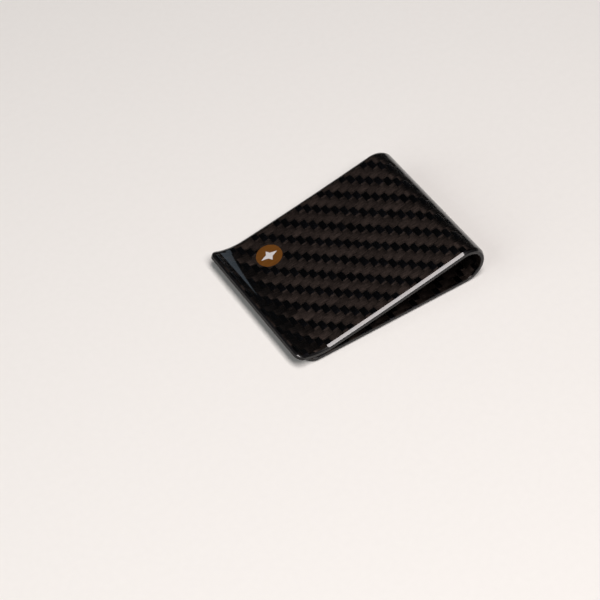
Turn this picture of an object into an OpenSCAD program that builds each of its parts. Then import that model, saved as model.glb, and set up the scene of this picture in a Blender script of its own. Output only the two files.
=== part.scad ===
// Money clip: one strip of carbon laminate, bent into a round bow between two leaves.
// The base leaf lies flat, the jaw leaf slopes down on to it and ends in an upturned lip.
// Origin: middle of the footprint, on the base leaf's underside. +X runs from the bow to the lip.

/* [Strip] */
// Width of the strip, from side to side
clip_w = 38; // [30:0.5:45]
// Radius of the bow, measured to its outer face
bow_r = 5.2; // [4.6:0.1:6]

/* [Base leaf] */
// Flat length from the bow to the free end
base_len = 43; // [36:0.5:44]
// Corner radius at the free end
base_corner_r = 3; // [1:0.5:6]

/* [Jaw leaf] */
// Distance from the bow to the start of the flare
dish_len = 35.8; // [30:0.1:40]
// Radius of the shallow dish along the leaf
dish_r = 800; // [600:50:2000]
// Radius of the flare, measured to its outer face
flare_r = 12.3; // [9:0.1:16]
// Angle that the flare turns through
flare_angle = 36; // [25:1:42]
// Straight run at the end of the lip
lip_run = 1.4; // [0.6:0.1:3]
// Corner radius of the lip
lip_corner_r = 2; // [1:0.5:5]
// Slope of the closed jaw down towards the base leaf
droop = 12.8; // [8:0.1:12.8]

/* [Plies] */
// Thickness of each woven twill ply
twill_t = 0.2; // [0.15:0.05:0.3]
// Thickness of each straight-fibre core ply
core_t = 0.3; // [0.2:0.05:0.35]

/* [Badge] */
// Radius of the round inlay
badge_r = 3.1; // [2:0.1:4]
// Distance of the inlay's centre from the bow, along the jaw leaf
badge_along = 33.6; // [12:0.1:34]
// Distance of the inlay's centre from the middle of the strip
badge_aside = 10.9; // [0:0.1:13]
// Thickness of the inlay
badge_t = 0.12; // [0.1:0.01:0.14]
// Thickness of the printed star
star_t = 0.05; // [0.04:0.01:0.06]
// Length of the star along the clip
star_l = 4.4; // [3:0.1:5]
// Width of the star
star_w = 3; // [2:0.1:4]

/* [Hidden] */

// Depths below the outer face at which one ply ends and the next begins
ply_t = [twill_t, core_t, core_t, core_t, twill_t];
function depth(n) = n == 0 ? 0 : depth(n - 1) + ply_t[n - 1];
laminate_t = depth(5);

// The five plies, counted from the outer face
OUTER_TWILL = 0;
OUTER_LENGTHWISE = 1;
CROSSWISE = 2;
INNER_LENGTHWISE = 3;
INNER_TWILL = 4;

// Jaw leaf in its own frame: x along the leaf from the bow, y up from the outer face
dish_angle = asin(dish_len / dish_r);
flare_start = [dish_len, dish_r * (1 - cos(dish_angle))];
flare_centre = flare_start + flare_r * [-sin(dish_angle), cos(dish_angle)];
lip_angle = dish_angle + flare_angle;
lip_start = flare_centre + flare_r * [sin(lip_angle), -cos(lip_angle)];
lip_end = lip_start + lip_run * [cos(lip_angle), sin(lip_angle)];
lip_toe = lip_end + laminate_t * [sin(lip_angle), -cos(lip_angle)];

// Where the jaw leaf leaves the bow, seen from the bow's centre, and how far its toe reaches
jaw_root = bow_r * [sin(droop), cos(droop)];
toe_reach = jaw_root[0] + lip_toe[0] * cos(droop) + lip_toe[1] * sin(droop);
bow_x = bow_r - (bow_r + toe_reach) / 2;

// Steps that draw the dish and the flare smoothly, and facets for the bow
dish_steps = 6;
flare_steps = 18;
bow_fn = 180;
// Reach of the trimming shapes past what they trim
spare = 5;

// ---- Shapes seen from the side ----

// A pie slice from one angle to another, in steps of at most 45 degrees
module slice(r, from, to) {
    steps = ceil((to - from) / 45);
    polygon([[0, 0], for (i = [0 : steps]) let (a = from + (to - from) * i / steps) r * [cos(a), sin(a)]]);
}

// The base leaf between two depths below its outer face, which looks down
module base_section(top, bottom) {
    translate([0, top]) square([base_len, bottom - top]);
}

// The bow between two depths, from the base leaf round the back to the jaw leaf
module bow_section(top, bottom) {
    intersection() {
        difference() {
            circle(bow_r - top, $fn = bow_fn);
            circle(bow_r - bottom, $fn = bow_fn);
        }
        slice(1.5 * bow_r, 90 - droop, 270);
    }
}

// Points along the jaw leaf at one depth: dish, flare, then the end of the straight lip
function jaw_line(deep) = [
    for (i = [0 : dish_steps - 1]) let (a = dish_angle * i / dish_steps)
        [0, dish_r] + (dish_r + deep) * [sin(a), -cos(a)],
    for (i = [0 : flare_steps]) let (a = dish_angle + flare_angle * i / flare_steps)
        flare_centre + (flare_r + deep) * [sin(a), -cos(a)],
    lip_end + deep * [sin(lip_angle), -cos(lip_angle)]
];
function reversed(points) = [for (i = [len(points) - 1 : -1 : 0]) points[i]];

// The jaw leaf between two depths
module jaw_section(top, bottom) {
    polygon(concat(jaw_line(bottom), reversed(jaw_line(top))));
}

// ---- Placing ----

// Turns a side section into a full-width solid
module across(width = clip_w) {
    rotate([90, 0, 0]) linear_extrude(width, center = true) children();
}

// Puts a child given in the bow's frame, or in the jaw leaf's frame, into the clip
module at_bow() {
    translate([bow_x, 0, bow_r]) children();
}
module at_jaw() {
    at_bow() translate([jaw_root[0], 0, jaw_root[1]]) rotate([0, droop, 0]) children();
}

// Plan of a leaf with two rounded corners at its far end
module leaf_plan(length, corner_r) {
    translate([-spare, -clip_w / 2]) square([length - corner_r + spare, clip_w]);
    translate([-spare, corner_r - clip_w / 2]) square([length + spare, clip_w - 2 * corner_r]);
    for (side = [-1, 1])
        translate([length - corner_r, side * (clip_w / 2 - corner_r)]) circle(corner_r, $fn = 64);
}

// ---- Plies ----

module twill_colour() {
    color([0.11, 0.10, 0.10]) children();
}
module core_colour() {
    color([0.05, 0.05, 0.055]) children();
}

module base_ply(n) {
    intersection() {
        translate([bow_x, 0, 0]) across() base_section(depth(n), depth(n + 1));
        translate([bow_x, 0, -spare]) linear_extrude(laminate_t + 2 * spare) leaf_plan(base_len, base_corner_r);
    }
}

module bow_ply(n) {
    at_bow() across() bow_section(depth(n), depth(n + 1));
}

module jaw_ply(n) {
    at_jaw() intersection() {
        across() jaw_section(depth(n), depth(n + 1));
        translate([0, 0, -spare])
            linear_extrude(lip_end[1] + 2 * spare) leaf_plan(lip_toe[0], lip_corner_r);
    }
}

module base_outer_twill() twill_colour() base_ply(OUTER_TWILL);
module base_outer_lengthwise_ply() core_colour() base_ply(OUTER_LENGTHWISE);
module base_crosswise_ply() core_colour() base_ply(CROSSWISE);
module base_inner_lengthwise_ply() core_colour() base_ply(INNER_LENGTHWISE);
module base_inner_twill() twill_colour() base_ply(INNER_TWILL);

module bow_outer_twill() twill_colour() bow_ply(OUTER_TWILL);
module bow_outer_lengthwise_ply() core_colour() bow_ply(OUTER_LENGTHWISE);
module bow_crosswise_ply() core_colour() bow_ply(CROSSWISE);
module bow_inner_lengthwise_ply() core_colour() bow_ply(INNER_LENGTHWISE);
module bow_inner_twill() twill_colour() bow_ply(INNER_TWILL);

// The jaw's outer twill has a shallow round pocket for the inlay
module jaw_outer_twill() {
    twill_colour() difference() {
        jaw_ply(OUTER_TWILL);
        badge_blank(badge_t);
    }
}
module jaw_outer_lengthwise_ply() core_colour() jaw_ply(OUTER_LENGTHWISE);
module jaw_crosswise_ply() core_colour() jaw_ply(CROSSWISE);
module jaw_inner_lengthwise_ply() core_colour() jaw_ply(INNER_LENGTHWISE);
module jaw_inner_twill() twill_colour() jaw_ply(INNER_TWILL);

// ---- Badge ----

// A column that stands square to the jaw leaf at the badge
module badge_column() {
    translate([badge_along, -badge_aside, -spare]) linear_extrude(2 * spare) children();
}

// Disc that follows the leaf's outer face down to a depth
module badge_blank(deep) {
    at_jaw() intersection() {
        across() jaw_section(0, deep);
        badge_column() circle(badge_r, $fn = 64);
    }
}

// Plain four-point star
module star_outline() {
    waist = 0.13 * star_l;
    polygon([
        [star_l / 2, 0], [waist, waist], [0, star_w / 2], [-waist, waist],
        [-star_l / 2, 0], [-waist, -waist], [0, -star_w / 2], [waist, -waist]
    ]);
}

module badge_star() {
    color([0.93, 0.92, 0.90]) at_jaw() intersection() {
        across() jaw_section(0, star_t);
        badge_column() star_outline();
    }
}

module badge_inlay() {
    color([0.47, 0.29, 0.10]) difference() {
        badge_blank(badge_t);
        badge_star();
    }
}

base_outer_twill();
base_outer_lengthwise_ply();
base_crosswise_ply();
base_inner_lengthwise_ply();
base_inner_twill();
bow_outer_twill();
bow_outer_lengthwise_ply();
bow_crosswise_ply();
bow_inner_lengthwise_ply();
bow_inner_twill();
jaw_outer_twill();
jaw_outer_lengthwise_ply();
jaw_crosswise_ply();
jaw_inner_lengthwise_ply();
jaw_inner_twill();
badge_inlay();
badge_star();
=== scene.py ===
import math

import bmesh
import bpy
from mathutils import Euler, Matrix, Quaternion, Vector


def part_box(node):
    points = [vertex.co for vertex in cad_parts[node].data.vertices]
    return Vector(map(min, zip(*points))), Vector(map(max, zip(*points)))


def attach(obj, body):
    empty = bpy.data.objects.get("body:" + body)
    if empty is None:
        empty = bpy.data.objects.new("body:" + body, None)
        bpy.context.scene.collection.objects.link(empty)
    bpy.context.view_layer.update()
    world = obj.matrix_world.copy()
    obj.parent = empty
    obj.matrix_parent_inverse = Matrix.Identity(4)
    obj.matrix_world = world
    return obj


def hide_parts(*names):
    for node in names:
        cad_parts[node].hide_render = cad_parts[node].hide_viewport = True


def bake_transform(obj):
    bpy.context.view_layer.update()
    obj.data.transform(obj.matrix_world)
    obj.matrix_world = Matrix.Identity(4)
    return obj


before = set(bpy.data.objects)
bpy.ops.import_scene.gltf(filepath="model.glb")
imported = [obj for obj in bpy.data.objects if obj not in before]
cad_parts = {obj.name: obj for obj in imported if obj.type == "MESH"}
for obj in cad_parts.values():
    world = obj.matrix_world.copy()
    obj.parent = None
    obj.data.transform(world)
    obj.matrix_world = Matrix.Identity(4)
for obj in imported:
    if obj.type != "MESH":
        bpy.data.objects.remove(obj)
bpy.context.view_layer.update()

MM = 0.001


# ---- Outer woven plies ----
# The clip is one strip of five carbon plies in clear epoxy, pressed round a steel mould and cured
# there. The first ply in is its outer face: a twill of flat tows, each over two and under two. After
# the cure its free corners are cut round and its rims are sanded to a wide soft slope.

base_low, base_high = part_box("base_outer_twill")
base_length = base_high.x - base_low.x
bow_radius = round(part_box("bow_outer_twill")[1].z / 2, 4)
strip_width = base_high.y - base_low.y
strip_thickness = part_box("base_inner_twill")[1].z

# The mould line follows the outer face from the base leaf's free end, round the bow and along the
# jaw leaf to the lip. Each stretch of it is a length and the angle that it turns through.
jaw_droop = math.radians(12.8)
dish_length = 35.8 * MM
dish_radius = 800 * MM
flare_radius = 12.3 * MM
flare_turn = math.radians(36)
lip_run = 1.4 * MM

bow_turn = math.pi + jaw_droop
dish_turn = math.asin(dish_length / dish_radius)
stretches = [
    (base_length, 0),
    (bow_radius * bow_turn, -bow_turn),
    (dish_radius * dish_turn, dish_turn),
    (flare_radius * flare_turn, flare_turn),
    (lip_run, 0),
]
bow_start = base_length
bow_end = bow_start + stretches[1][0]
flare_start = bow_end + stretches[2][0]
lip_start = flare_start + stretches[3][0]
strip_end = lip_start + lip_run


def on_mould(along):
    """The point on the mould line at a distance along it, as x and z, and the line's heading there."""
    x, z, heading = base_high.x, 0.0, math.pi
    for number, (length, turn) in enumerate(stretches):
        last = number == len(stretches) - 1
        run = along if last else min(along, length)
        if turn:
            bend = turn / length
            ahead = heading + bend * run
            x += (math.sin(ahead) - math.sin(heading)) / bend
            z += (math.cos(heading) - math.cos(ahead)) / bend
            heading = ahead
        else:
            x += run * math.cos(heading)
            z += run * math.sin(heading)
        along -= length
        if along <= 0:
            break
    return x, z, heading


# Each zone of the strip starts as a flat blank, the strip's full thickness, with its outer face down
# at z = 0. Its plies are cut from it by their depths.
zones = {
    "base": (0, bow_start),
    "bow": (bow_start, bow_end),
    "jaw": (bow_end, strip_end),
}
base_corner_radius = 3 * MM
lip_corner_radius = 2 * MM
free_ends = {
    "base": (0, base_corner_radius),
    "jaw": (strip_end, lip_corner_radius),
}
outer_slope_width = 0.95 * MM
outer_slope_depth = 0.5 * MM
outer_slope_roundness = 0.34
inner_rim_width = 0.25 * MM
inner_rim_roundness = 0.5
corner_steps = 14
outer_slope_steps = 18
inner_rim_steps = 5
HAIR = 0.001 * MM                 # lengths that differ by less count as equal


def near(value, target):
    """True if two lengths agree to within a hair."""
    return abs(value - target) < HAIR


def pick(piece):
    """Selects one piece and nothing else."""
    bpy.ops.object.select_all(action="DESELECT")
    piece.select_set(True)
    bpy.context.view_layer.objects.active = piece


def select_edges(test):
    """In edit mode, selects the edges both of whose ends pass the test, and nothing else."""
    bpy.ops.mesh.select_all(action="DESELECT")
    bpy.ops.mesh.select_mode(type="EDGE")
    mesh = bmesh.from_edit_mesh(bpy.context.object.data)
    for edge in mesh.edges:
        edge.select = test(edge.verts[0].co, edge.verts[1].co)
    bmesh.update_edit_mesh(bpy.context.object.data)


def make_blank(zone):
    """The full thickness of one zone of the strip, flat, with its corners and rims rounded.

    It is made too thick and then pressed flat, so that the rims' slopes come out wider than deep.
    """
    start, stop = zones[zone]
    stretch = outer_slope_width / outer_slope_depth
    tall = strip_thickness * stretch
    bpy.ops.object.select_all(action="DESELECT")
    bpy.ops.mesh.primitive_cube_add(size=1, location=((start + stop) / 2, 0, tall / 2))
    blank = bpy.context.object
    blank.name = zone + "_blank"
    blank.scale = (stop - start, strip_width, tall)
    bpy.ops.object.transform_apply(location=True, rotation=True, scale=True)
    bpy.ops.object.mode_set(mode="EDIT")
    if zone in free_ends:
        end, corner_radius = free_ends[zone]
        select_edges(lambda a, b: near(a.x, end) and near(b.x, end) and near(a.y, b.y))
        bpy.ops.mesh.bevel(offset=corner_radius, segments=corner_steps, affect="EDGES")
    seams = [x for x in (bow_start, bow_end) if x in (start, stop)]
    for depth, width, steps, roundness in (
        (0, outer_slope_width, outer_slope_steps, outer_slope_roundness),
        (tall, inner_rim_width, inner_rim_steps, inner_rim_roundness),
    ):
        select_edges(
            lambda a, b: near(a.z, depth)
            and near(b.z, depth)
            and not any(near(a.x, x) and near(b.x, x) for x in seams)
        )
        bpy.ops.mesh.bevel(offset=width, segments=steps, profile=roundness, affect="EDGES")
    bpy.ops.mesh.select_all(action="SELECT")
    bpy.ops.transform.resize(value=(1, 1, 1 / stretch), center_override=(0, 0, 0))
    bpy.ops.object.mode_set(mode="OBJECT")
    return blank


blanks = {zone: make_blank(zone) for zone in zones}


def copy_as(source, name):
    """A copy of a piece, with its own mesh, picked."""
    piece = source.copy()
    piece.data = source.data.copy()
    piece.name = name
    bpy.context.collection.objects.link(piece)
    pick(piece)
    return piece


def cut_across(place, direction, **which):
    """In edit mode, cuts the whole piece with a plane."""
    bpy.ops.mesh.select_all(action="SELECT")
    bpy.ops.mesh.bisect(plane_co=place, plane_no=direction, threshold=HAIR / 10, **which)


def sink(cutter):
    """Sinks a pocket of the cutter's shape in the picked piece."""
    pocket = bpy.context.object.modifiers.new("pocket", "BOOLEAN")
    pocket.operation = "DIFFERENCE"
    pocket.solver = "EXACT"
    pocket.object = cutter
    bpy.ops.object.modifier_apply(modifier=pocket.name)


def cut_for_bending(piece, zone):
    """Cuts a flat piece across at even steps of its zone, finer where the mould bends more."""
    steps = {"base": [10], "bow": [72], "jaw": [12, 24, 2]}[zone]
    ends = {
        "base": [0, bow_start],
        "bow": [bow_start, bow_end],
        "jaw": [bow_end, flare_start, lip_start, strip_end],
    }[zone]
    low = min(vertex.co.x for vertex in piece.data.vertices)
    high = max(vertex.co.x for vertex in piece.data.vertices)
    pick(piece)
    bpy.ops.object.mode_set(mode="EDIT")
    for count, start, stop in zip(steps, ends, ends[1:]):
        for step in range(count):
            place = start + (stop - start) * step / count
            if low + HAIR < place < high - HAIR:
                cut_across((place, 0, 0), (1, 0, 0))
    bpy.ops.object.mode_set(mode="OBJECT")


def shade(piece):
    """Smooth shading whose flat faces stay flat beside their rounded rims."""
    pick(piece)
    bpy.ops.object.shade_smooth_by_angle(angle=math.radians(40), keep_sharp_edges=True)
    weighted = piece.modifiers.new("flat_faces", "WEIGHTED_NORMAL")
    weighted.weight = 100
    weighted.keep_sharp = True
    bpy.ops.object.modifier_apply(modifier=weighted.name)


def press_round_mould(piece, zone):
    """Bends a flat piece to the mould line.

    Each corner's normal turns with it, so the seams don't show, and the attribute "flat" keeps
    each point's place in the flat strip, which the materials read.
    """
    cut_for_bending(piece, zone)
    shade(piece)
    mesh = piece.data
    mesh.attributes.new("flat", "FLOAT_VECTOR", "POINT")
    flat = [vertex.co.copy() for vertex in mesh.vertices]
    mesh.attributes["flat"].data.foreach_set("vector", [number for place in flat for number in place])
    normals = [corner.vector.copy() for corner in mesh.corner_normals]
    for vertex in mesh.vertices:
        x, z, heading = on_mould(vertex.co.x)
        depth = vertex.co.z
        vertex.co = (x + depth * math.sin(heading), -vertex.co.y, z - depth * math.cos(heading))
    turned = []
    for loop, normal in zip(mesh.loops, normals):
        heading = on_mould(flat[loop.vertex_index].x)[2]
        sine, cosine = math.sin(heading), math.cos(heading)
        turned.append((
            normal.x * cosine + normal.z * sine,
            -normal.y,
            normal.x * sine - normal.z * cosine,
        ))
    mesh.normals_split_custom_set(turned)


def lay_ply(zone, ply, material, cutter=None):
    """One zone of a ply, between the depths of its CAD node, cut from the blank and laid in the mould."""
    low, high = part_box("base_" + ply)
    piece = copy_as(blanks[zone], f"{zone}_{ply}_laid")
    bpy.ops.object.mode_set(mode="EDIT")
    if low.z > HAIR:
        cut_across((0, 0, low.z), (0, 0, 1), clear_inner=True, use_fill=True)
    if high.z < strip_thickness - HAIR:
        cut_across((0, 0, high.z), (0, 0, 1), clear_outer=True, use_fill=True)
    for depth in (low.z, high.z):
        if HAIR < depth < strip_thickness - HAIR:
            select_edges(lambda a, b: near(a.z, depth) and near(b.z, depth))
            bpy.ops.mesh.mark_sharp()
    bpy.ops.object.mode_set(mode="OBJECT")
    if cutter:
        sink(cutter)
    press_round_mould(piece, zone)
    piece.data.materials.append(material)
    if zone == "bow":
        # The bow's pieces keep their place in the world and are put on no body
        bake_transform(piece)
    else:
        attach(piece, zone)
    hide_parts(f"{zone}_{ply}")


class Field:
    """A number, colour or direction that varies over a piece: one output of a material's nodes."""

    def __init__(self, recipe, socket):
        self.recipe = recipe
        self.socket = socket

    def calc(self, operation, second=0.0, third=0.0):
        """One step of arithmetic."""
        return self.recipe.add("ShaderNodeMath", {0: self, 1: second, 2: third}, operation=operation)

    def __add__(self, other):
        return self.calc("ADD", other)

    def __sub__(self, other):
        return self.calc("SUBTRACT", other)

    def __mul__(self, other):
        return self.calc("MULTIPLY", other)

    def __truediv__(self, other):
        return self.calc("DIVIDE", other)

    def spread(self, low, high, first=0.0, second=1.0):
        """Carries the number from one range to another, held at its ends."""
        return self.recipe.add("ShaderNodeMapRange", {0: self, 1: low, 2: high, 3: first, 4: second})


class Recipe:
    """A material's nodes, added one after another. Fields and plain values both serve as inputs.

    A Mix node takes its numbers at inputs 2 and 3, directions at 4 and 5, and colours at 6 and 7.
    """

    def __init__(self, name):
        self.material = bpy.data.materials.new(name)
        self.material.use_nodes = True
        self.tree = self.material.node_tree
        self.shader = self.tree.nodes["Principled BSDF"]

    def feed(self, socket, value):
        """Links a field to a socket, or sets a plain value on it."""
        if isinstance(value, Field):
            self.tree.links.new(value.socket, socket)
        else:
            socket.default_value = value

    def add(self, kind, inputs, output=0, **settings):
        """Adds a node and returns one of its outputs."""
        node = self.tree.nodes.new(kind)
        for name, value in settings.items():
            setattr(node, name, value)
        for name, value in inputs.items():
            self.feed(node.inputs[name], value)
        return Field(self, node.outputs[output])

    def flat(self):
        """The place in the flat strip, then its parts: along the strip, across it and deep in it."""
        place = self.add("ShaderNodeAttribute", {}, output=1, attribute_name="flat")
        parts = [self.add("ShaderNodeSeparateXYZ", {0: place}, output=axis) for axis in range(3)]
        return place, *parts

    def noise(self, place, scales, detail=2, roughness=0.5):
        """Soft noise from 0 to 1, about as many times a metre as each axis's scale says."""
        scaled = self.add("ShaderNodeVectorMath", {0: place, 1: scales}, operation="MULTIPLY")
        return self.add("ShaderNodeTexNoise", {
            "Vector": scaled, "Scale": 1.0, "Detail": detail, "Roughness": roughness,
        })

    def chance(self, number):
        """A chance value from 0 to 1, the same wherever the number is the same."""
        return self.add("ShaderNodeTexWhiteNoise", {"W": number}, noise_dimensions="1D")

    def between(self, share, first, second):
        """A number between two numbers."""
        return self.add("ShaderNodeMix", {0: share, 2: first, 3: second}, data_type="FLOAT")

    def tint(self, share, first, second):
        """A colour between two colours."""
        return self.add("ShaderNodeMix", {0: share, 6: first, 7: second}, output=2, data_type="RGBA")

    def relief(self, height, strength=1.0):
        """The normal of a surface with these heights in metres."""
        return self.add("ShaderNodeBump", {"Height": height, "Distance": 1.0, "Strength": strength})

    def set(self, **values):
        """Sets the shader's own sockets, by their names with _ for each space."""
        for name, value in values.items():
            self.feed(self.shader.inputs[name.replace("_", " ")], value)

    def epoxy(self, coat=1.0, coat_roughness=0.03):
        """Sets the material in clear epoxy, with a coat of it on top."""
        self.set(IOR=1.5, Coat_Weight=coat, Coat_Roughness=coat_roughness, Coat_IOR=1.5)


lengthwise_pitch = 1.63 * MM      # from one lengthwise tow to the next
crosswise_pitch = 1.545 * MM
weave_start_along = 0.61 * MM
weave_start_across = 1.69 * MM
tow_wander = 0.34                 # how far a tow strays, in tows
tow_arch = 1.6                    # how round a tow's section is
lengthwise_lift = 0.6             # how much the lengthwise tows lie over the crosswise ones
weave_height = 0.08 * MM
dive_depth = 0.085 * MM
fibre_height = 0.006 * MM

# A crosswise float shows as an upright oblong, whose edges are soft over these distances from its
# middle, in tows. It sits a little off the middle of its crossing.
oblong_ends = (0.64, 0.78)
oblong_sides = (0.42, 0.49)
oblong_shift = 0.05

# Ramps of painted highlight and painted shade in the weave's colour: from where to where, in tows, and from
# which shade to which
bow_side_painted_light = (-0.45, 0.3, 1.5, 0.8)
free_end_painted_highlight = (-0.7, 0.1, 1.5, 1.0)
painted_shade_at_bow_end = (0.0, 0.65, 0.50, 0.85)
painted_highlight_at_lip_end = (1.2, 2.0, 0.0, 0.45)
painted_shade_under_crossing = (2.4, 3.0, 0.0, 0.3)
painted_shade_to_bow_end = (3.75, 4.0, 0.0, 0.4)
# The lengthwise tows' brown is a painted sheen: both directions are the same near-black fibre, and the
# brown stands for the light that tows laid this way reflect.
lengthwise_tow_sheen_colour = (0.0244, 0.0180, 0.0154, 1)
crosswise_tow_colour = (0.0055, 0.0052, 0.0066, 1)


def woven_carbon(name, coat, coat_roughness):
    """Carbon twill in clear epoxy. Its fibres gleam across their length and not along it. Its colour also
    holds painted sheen, painted highlights and painted shade on the tows.
    """
    recipe = Recipe(name)
    place, along, across, _ = recipe.flat()
    # Places counted in tows, from one crosswise tow to the next (u) and one lengthwise tow to the next (v)
    wander_along = recipe.noise(place, (260, 420, 0), detail=3) * tow_wander
    wander_across = recipe.noise(place, (430, 250, 0), detail=3) * tow_wander
    u = (along - weave_start_along) / crosswise_pitch + wander_along
    v = (across - weave_start_across) / lengthwise_pitch + wander_across
    column = u.calc("FLOOR")
    row = v.calc("FLOOR")
    in_column = u - column - 0.5
    in_row = v - row - 0.5
    # Each tow rises and dips once in four others, and its section is a low arch
    quarter_turn = math.pi / 2
    long_wave = ((u - row - 1.0) * quarter_turn).calc("COSINE")
    cross_wave = ((v - column + 2.0) * quarter_turn).calc("COSINE")
    long_height = long_wave - in_row * in_row * tow_arch + lengthwise_lift
    cross_height = cross_wave - in_column * in_column * tow_arch
    top = long_height.calc("MAXIMUM", cross_height)
    # A crosswise float lies between the lengthwise tows that it dips under. Its colour is painted lighter
    # on its bow side and at its end away from the inlay, and a little darker on its lip side: painted
    # highlight and painted shade.
    from_middle = (v - column + (2.0 - oblong_shift)).calc("WRAP", 2.0, -2.0)
    past_end = from_middle.calc("ABSOLUTE").spread(*oblong_ends)
    past_side = in_column.calc("ABSOLUTE").spread(*oblong_sides)
    is_long = past_end.calc("MAXIMUM", past_side)
    cross_painted_light = in_column.spread(*bow_side_painted_light) * from_middle.spread(*free_end_painted_highlight)
    # A lengthwise float's colour has painted shade where it comes up at its bow end and where it goes under
    # the crossing tows, and a painted highlight where it dives at its lip end
    in_float = (u - row).calc("WRAP", 4.0, 0.0)
    long_painted_light = in_float.spread(*painted_shade_at_bow_end) + in_float.spread(*painted_highlight_at_lip_end)
    long_painted_light = long_painted_light - in_float.spread(*painted_shade_under_crossing) - in_float.spread(*painted_shade_to_bow_end)
    steep = in_float.spread(1.3, 2.05)
    dive = (steep * steep - in_float.spread(2.4, 4.0)) * is_long
    # Fibres are fine streaks along each tow
    long_streaks = recipe.noise(place, (400, 9000, 0), detail=3)
    cross_streaks = recipe.noise(place, (9000, 400, 0), detail=3)
    streaks = recipe.between(is_long, cross_streaks, long_streaks)
    # Each float has a number of its own, and takes its shade by chance from it
    long_luck = recipe.chance(row * 17.0 + ((u - row) / 4.0).calc("FLOOR") * 3.7)
    cross_float = ((v - column + (4.0 - oblong_shift)) / 4.0).calc("FLOOR")
    cross_luck = recipe.chance(column * 13.0 + cross_float * 5.3)
    long_tone_and_painted_light = long_painted_light * long_luck.spread(0.0, 1.0, 0.74, 1.26)
    cross_tone_and_painted_light = cross_painted_light * cross_luck.spread(0.0, 1.0, 0.5, 1.7)
    # Where the weave lies low, between the tows' crowns, the colour is darkened: painted shade. The chance
    # tone of each float is multiplied in with the painted light.
    tone_and_painted_light = recipe.between(is_long, cross_tone_and_painted_light, long_tone_and_painted_light) * top.spread(0.0, 0.7, 0.7, 1.0)
    mottle = recipe.noise(place, (1500, 2600, 0))
    tone_and_painted_light = tone_and_painted_light * streaks.spread(0.3, 0.7, 0.5, 1.5) * mottle.spread(0.3, 0.7, 0.75, 1.21)
    tows = recipe.tint(is_long, crosswise_tow_colour, lengthwise_tow_sheen_colour)
    height = top * weave_height + streaks * fibre_height - dive * dive_depth
    # The fibres' direction, along the strip or across it
    outward = recipe.add("ShaderNodeNewGeometry", {}, output=1)
    along_strip = recipe.add("ShaderNodeVectorMath", {0: outward, 1: (0, 1, 0)}, operation="CROSS_PRODUCT")
    lay = recipe.add(
        "ShaderNodeMix", {0: is_long, 4: along_strip, 5: (0, 1, 0)}, output=1, data_type="VECTOR"
    )
    recipe.set(
        Base_Color=recipe.add("ShaderNodeVectorMath", {0: tows, "Scale": tone_and_painted_light}, operation="SCALE"),
        Metallic=1.0,
        Roughness=streaks.spread(0.2, 0.8, 0.44, 0.58),
        Normal=recipe.relief(height),
        Tangent=lay,
        Anisotropic=0.7,
    )
    recipe.epoxy(coat, coat_roughness)
    return recipe.material


# The jaw's outer ply has a shallow round pocket near the lip, for the inlay.
inlay_along = bow_end + 33.6 * MM
inlay_aside = 10.9 * MM
inlay_radius = 3.1 * MM
inlay_depth = 0.12 * MM

bpy.ops.object.select_all(action="DESELECT")
bpy.ops.mesh.primitive_cylinder_add(
    vertices=96, radius=inlay_radius, depth=2 * inlay_depth, location=(inlay_along, inlay_aside, 0)
)
pocket_cutter = bpy.context.object

glossy_weave = woven_carbon("glossy_woven_carbon", coat=1.0, coat_roughness=0.03)
for zone in zones:
    lay_ply(zone, "outer_twill", glossy_weave, pocket_cutter if zone == "jaw" else None)


# ---- Outer lengthwise plies ----
# The second ply is straight carbon fibre that runs along the clip. It is the outer half of the
# clip's spring. It shows only at the sanded rims, as fine dark lines under the resin.

straight_fibre_dark = (0.0012, 0.0012, 0.0015, 1)
straight_fibre_pale = (0.009, 0.0085, 0.009, 1)
straight_fibre_height = 0.004 * MM
well_coated_depth = 0.45 * MM
thinly_coated_depth = 0.6 * MM


def straight_carbon(name, scales):
    """Straight fibres in epoxy, sanded at the rim. The coat thins out below the rim's slope."""
    recipe = Recipe(name)
    place, _, _, depth = recipe.flat()
    fibres = recipe.noise(place, scales, detail=4, roughness=0.6)
    recipe.set(
        Base_Color=recipe.tint(fibres.spread(0.35, 0.7), straight_fibre_dark, straight_fibre_pale),
        Roughness=fibres.spread(0.2, 0.8, 0.3, 0.5),
        Normal=recipe.relief(fibres * straight_fibre_height, strength=0.5),
        Specular_IOR_Level=0.15,
    )
    recipe.epoxy(coat=depth.spread(well_coated_depth, thinly_coated_depth, 1.0, 0.3))
    return recipe.material


lengthwise_fibre = straight_carbon("lengthwise_carbon", (300, 6000, 16000))
for zone in zones:
    lay_ply(zone, "outer_lengthwise_ply", lengthwise_fibre)


# ---- Crosswise plies ----
# The middle ply is straight carbon fibre that runs across the clip and keeps it from splitting
# lengthwise. It is laid on the second ply while both are wet, and cured with it.

crosswise_fibre = straight_carbon("crosswise_carbon", (9000, 300, 9000))
for zone in zones:
    lay_ply(zone, "crosswise_ply", crosswise_fibre)


# ---- Inner lengthwise plies ----
# The fourth ply runs along the clip again, of the same fibre as the second. It is the inner half of
# the spring.

for zone in zones:
    lay_ply(zone, "inner_lengthwise_ply", lengthwise_fibre)


# ---- Inner woven plies ----
# The last ply in is the same twill as the first. It is the face that touches the notes, so its
# resin isn't polished and stays a little dull. Only the sharp edge of its rim is taken off.

dull_weave = woven_carbon("dull_woven_carbon", coat=0.6, coat_roughness=0.18)
for zone in zones:
    lay_ply(zone, "inner_twill", dull_weave)

for blank in blanks.values():
    bpy.data.objects.remove(blank)
bpy.data.objects.remove(pocket_cutter)


# ---- Round inlay ----
# A thin round of brown straight-grained veneer is glued flush in the outer ply's pocket, under the
# same clear coat. A four-point star is sunk in it.

star_length = 4.4 * MM
star_width = 3 * MM
star_waist = 0.13 * star_length
star_depth = 0.05 * MM
early_wood = (0.155, 0.058, 0.0062, 1)
late_wood = (0.085, 0.027, 0.0025, 1)
wood_pores = (0.042, 0.014, 0.002, 1)

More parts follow.
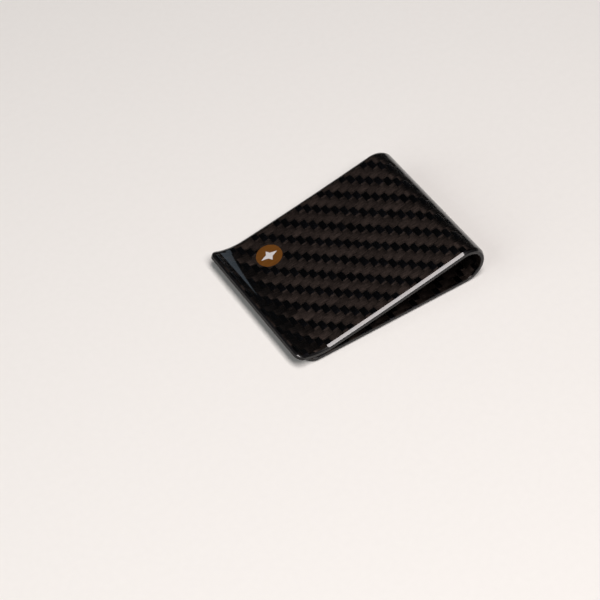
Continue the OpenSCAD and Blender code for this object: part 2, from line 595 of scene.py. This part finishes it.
bpy.ops.object.select_all(action="DESELECT")
bpy.ops.mesh.primitive_circle_add(
    vertices=8, radius=1, fill_type="NGON", location=(inlay_along, inlay_aside, -star_depth)
)
star_cutter = bpy.context.object
star_tips = [(star_length / 2, 0), (star_waist, star_waist), (0, star_width / 2), (-star_waist, star_waist)]
star_outline = star_tips + [(-x, -y) for x, y in star_tips]
for vertex, (x, y) in zip(star_cutter.data.vertices, star_outline):
    vertex.co = (x, y, 0)
bpy.ops.object.transform_apply(location=True, rotation=True, scale=True)
bpy.ops.object.mode_set(mode="EDIT")
bpy.ops.mesh.select_all(action="SELECT")
bpy.ops.mesh.extrude_region_move(TRANSFORM_OT_translate={"value": (0, 0, 2 * star_depth)})
bpy.ops.mesh.select_all(action="SELECT")
bpy.ops.mesh.normals_make_consistent(inside=False)
bpy.ops.object.mode_set(mode="OBJECT")

bpy.ops.object.select_all(action="DESELECT")
bpy.ops.mesh.primitive_cylinder_add(
    vertices=96,
    radius=inlay_radius,
    depth=inlay_depth,
    location=(inlay_along, inlay_aside, inlay_depth / 2),
)
inlay = bpy.context.object
inlay.name = "round_inlay"
bpy.ops.object.transform_apply(location=True, rotation=True, scale=True)
sink(star_cutter)
press_round_mould(inlay, "jaw")

veneer = Recipe("brown_veneer")
in_strip = veneer.flat()[0]
grain = veneer.noise(in_strip, (250, 5200, 0), detail=4, roughness=0.65)
pores = veneer.noise(in_strip, (900, 12000, 0))
wood = veneer.tint(grain.spread(0.3, 0.7), late_wood, early_wood)
veneer.set(
    Base_Color=veneer.tint(pores.spread(0.62, 0.75, 0.0, 0.5), wood, wood_pores),
    Roughness=grain.spread(0.2, 0.8, 0.42, 0.6),
    Normal=veneer.relief(grain * fibre_height, strength=0.5),
    Specular_IOR_Level=0.15,
)
veneer.epoxy()
inlay.data.materials.append(veneer.material)
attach(inlay, "jaw")
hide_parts("badge_inlay")


# ---- Printed star ----
# A plain four-point star of off-white ink fills its recess in the inlay, flush with the veneer. It
# is printed before the clear coat goes on.

ink_thin = (0.50, 0.48, 0.48, 1)
ink_full = (0.64, 0.62, 0.62, 1)

star = copy_as(star_cutter, "white_star")
bpy.ops.object.mode_set(mode="EDIT")
cut_across((0, 0, 0), (0, 0, 1), clear_inner=True, use_fill=True)
bpy.ops.object.mode_set(mode="OBJECT")
press_round_mould(star, "jaw")
bpy.data.objects.remove(star_cutter)

print_ink = Recipe("white_print")
speckle = print_ink.noise(print_ink.flat()[0], (7000, 7000, 7000), detail=3)
print_ink.set(
    Base_Color=print_ink.tint(speckle.spread(0.3, 0.7), ink_thin, ink_full),
    Roughness=speckle.spread(0.2, 0.8, 0.45, 0.65),
)
print_ink.epoxy()
star.data.materials.append(print_ink.material)
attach(star, "jaw")
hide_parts("badge_star")


# ---- Table ----
# A plain pale table top of matt painted board, far wider than the clip. The clip lies on it by its
# base leaf's outer face.

table_width = 3
paint_dark = (0.84, 0.83, 0.80, 1)
paint_pale = (0.87, 0.86, 0.83, 1)

bpy.ops.object.select_all(action="DESELECT")
bpy.ops.mesh.primitive_plane_add(size=table_width, location=(0, 0, 0))
table = bpy.context.object
table.name = "table"
paint = Recipe("pale_paint")
mottle = paint.noise(paint.add("ShaderNodeTexCoord", {}, output=3), (600, 600, 600), detail=4)
paint.set(Base_Color=paint.tint(mottle, paint_dark, paint_pale), Roughness=0.85)
table.data.materials.append(paint.material)


# ---- Lights and camera ----
# One large soft light hangs over the clip's near side and a broad dim one stands beside it. A small
# bluish card close to the bow shows as the tapering gleam in the lip's valley.


def soft_light(name, place, size, brightness, colour, aim=(0, 0, 0), roll=0):
    """A rectangular light with an even face, turned to its aim. brightness is that of the face."""
    lamp = bpy.data.lights.new(name, "AREA")
    lamp.shape = "RECTANGLE"
    lamp.size, lamp.size_y = size
    lamp.energy = brightness * math.pi * size[0] * size[1]
    lamp.color = colour
    light = bpy.data.objects.new(name, lamp)
    light.location = place
    turn = (Vector(place) - Vector(aim)).to_track_quat("Z", "Y")
    light.rotation_euler = (turn @ Quaternion((0, 0, 1), math.radians(roll))).to_euler()
    bpy.context.collection.objects.link(light)


soft_light(
    "overhead", place=(0.01, 0.27, 0.66), size=(0.26, 0.52), brightness=12, colour=(1.0, 0.94, 0.93)
)
soft_light("side", place=(0.75, 0.05, 0.45), size=(0.8, 0.7), brightness=1.6, colour=(0.98, 1.0, 1.0))
soft_light(
    "card", place=(-0.10552, -0.14020, 0.09533), size=(0.025, 0.065), brightness=0.7,
    colour=(0.70, 0.85, 1.0), aim=(0.022, -0.016, 0.0034), roll=-41,
)

room_colour = (0.9, 0.95, 1.0, 1)
room_brightness = 0.025
room = bpy.data.worlds.new("room")
room.use_nodes = True
room.node_tree.nodes["Background"].inputs["Color"].default_value = room_colour
room.node_tree.nodes["Background"].inputs["Strength"].default_value = room_brightness
bpy.context.scene.world = room
bpy.context.scene.view_settings.view_transform = "Standard"

camera_place = (0.16105, 0.25235, 0.33913)
camera_turn = (40.559, 2.019, 147.199)     # degrees
lens = bpy.data.cameras.new("camera")
lens.lens = 118.2
lens.sensor_width = 36
lens.clip_start = 0.01
camera = bpy.data.objects.new("camera", lens)
camera.location = camera_place
camera.rotation_euler = Euler([math.radians(angle) for angle in camera_turn])
bpy.context.collection.objects.link(camera)
bpy.context.scene.camera = camera
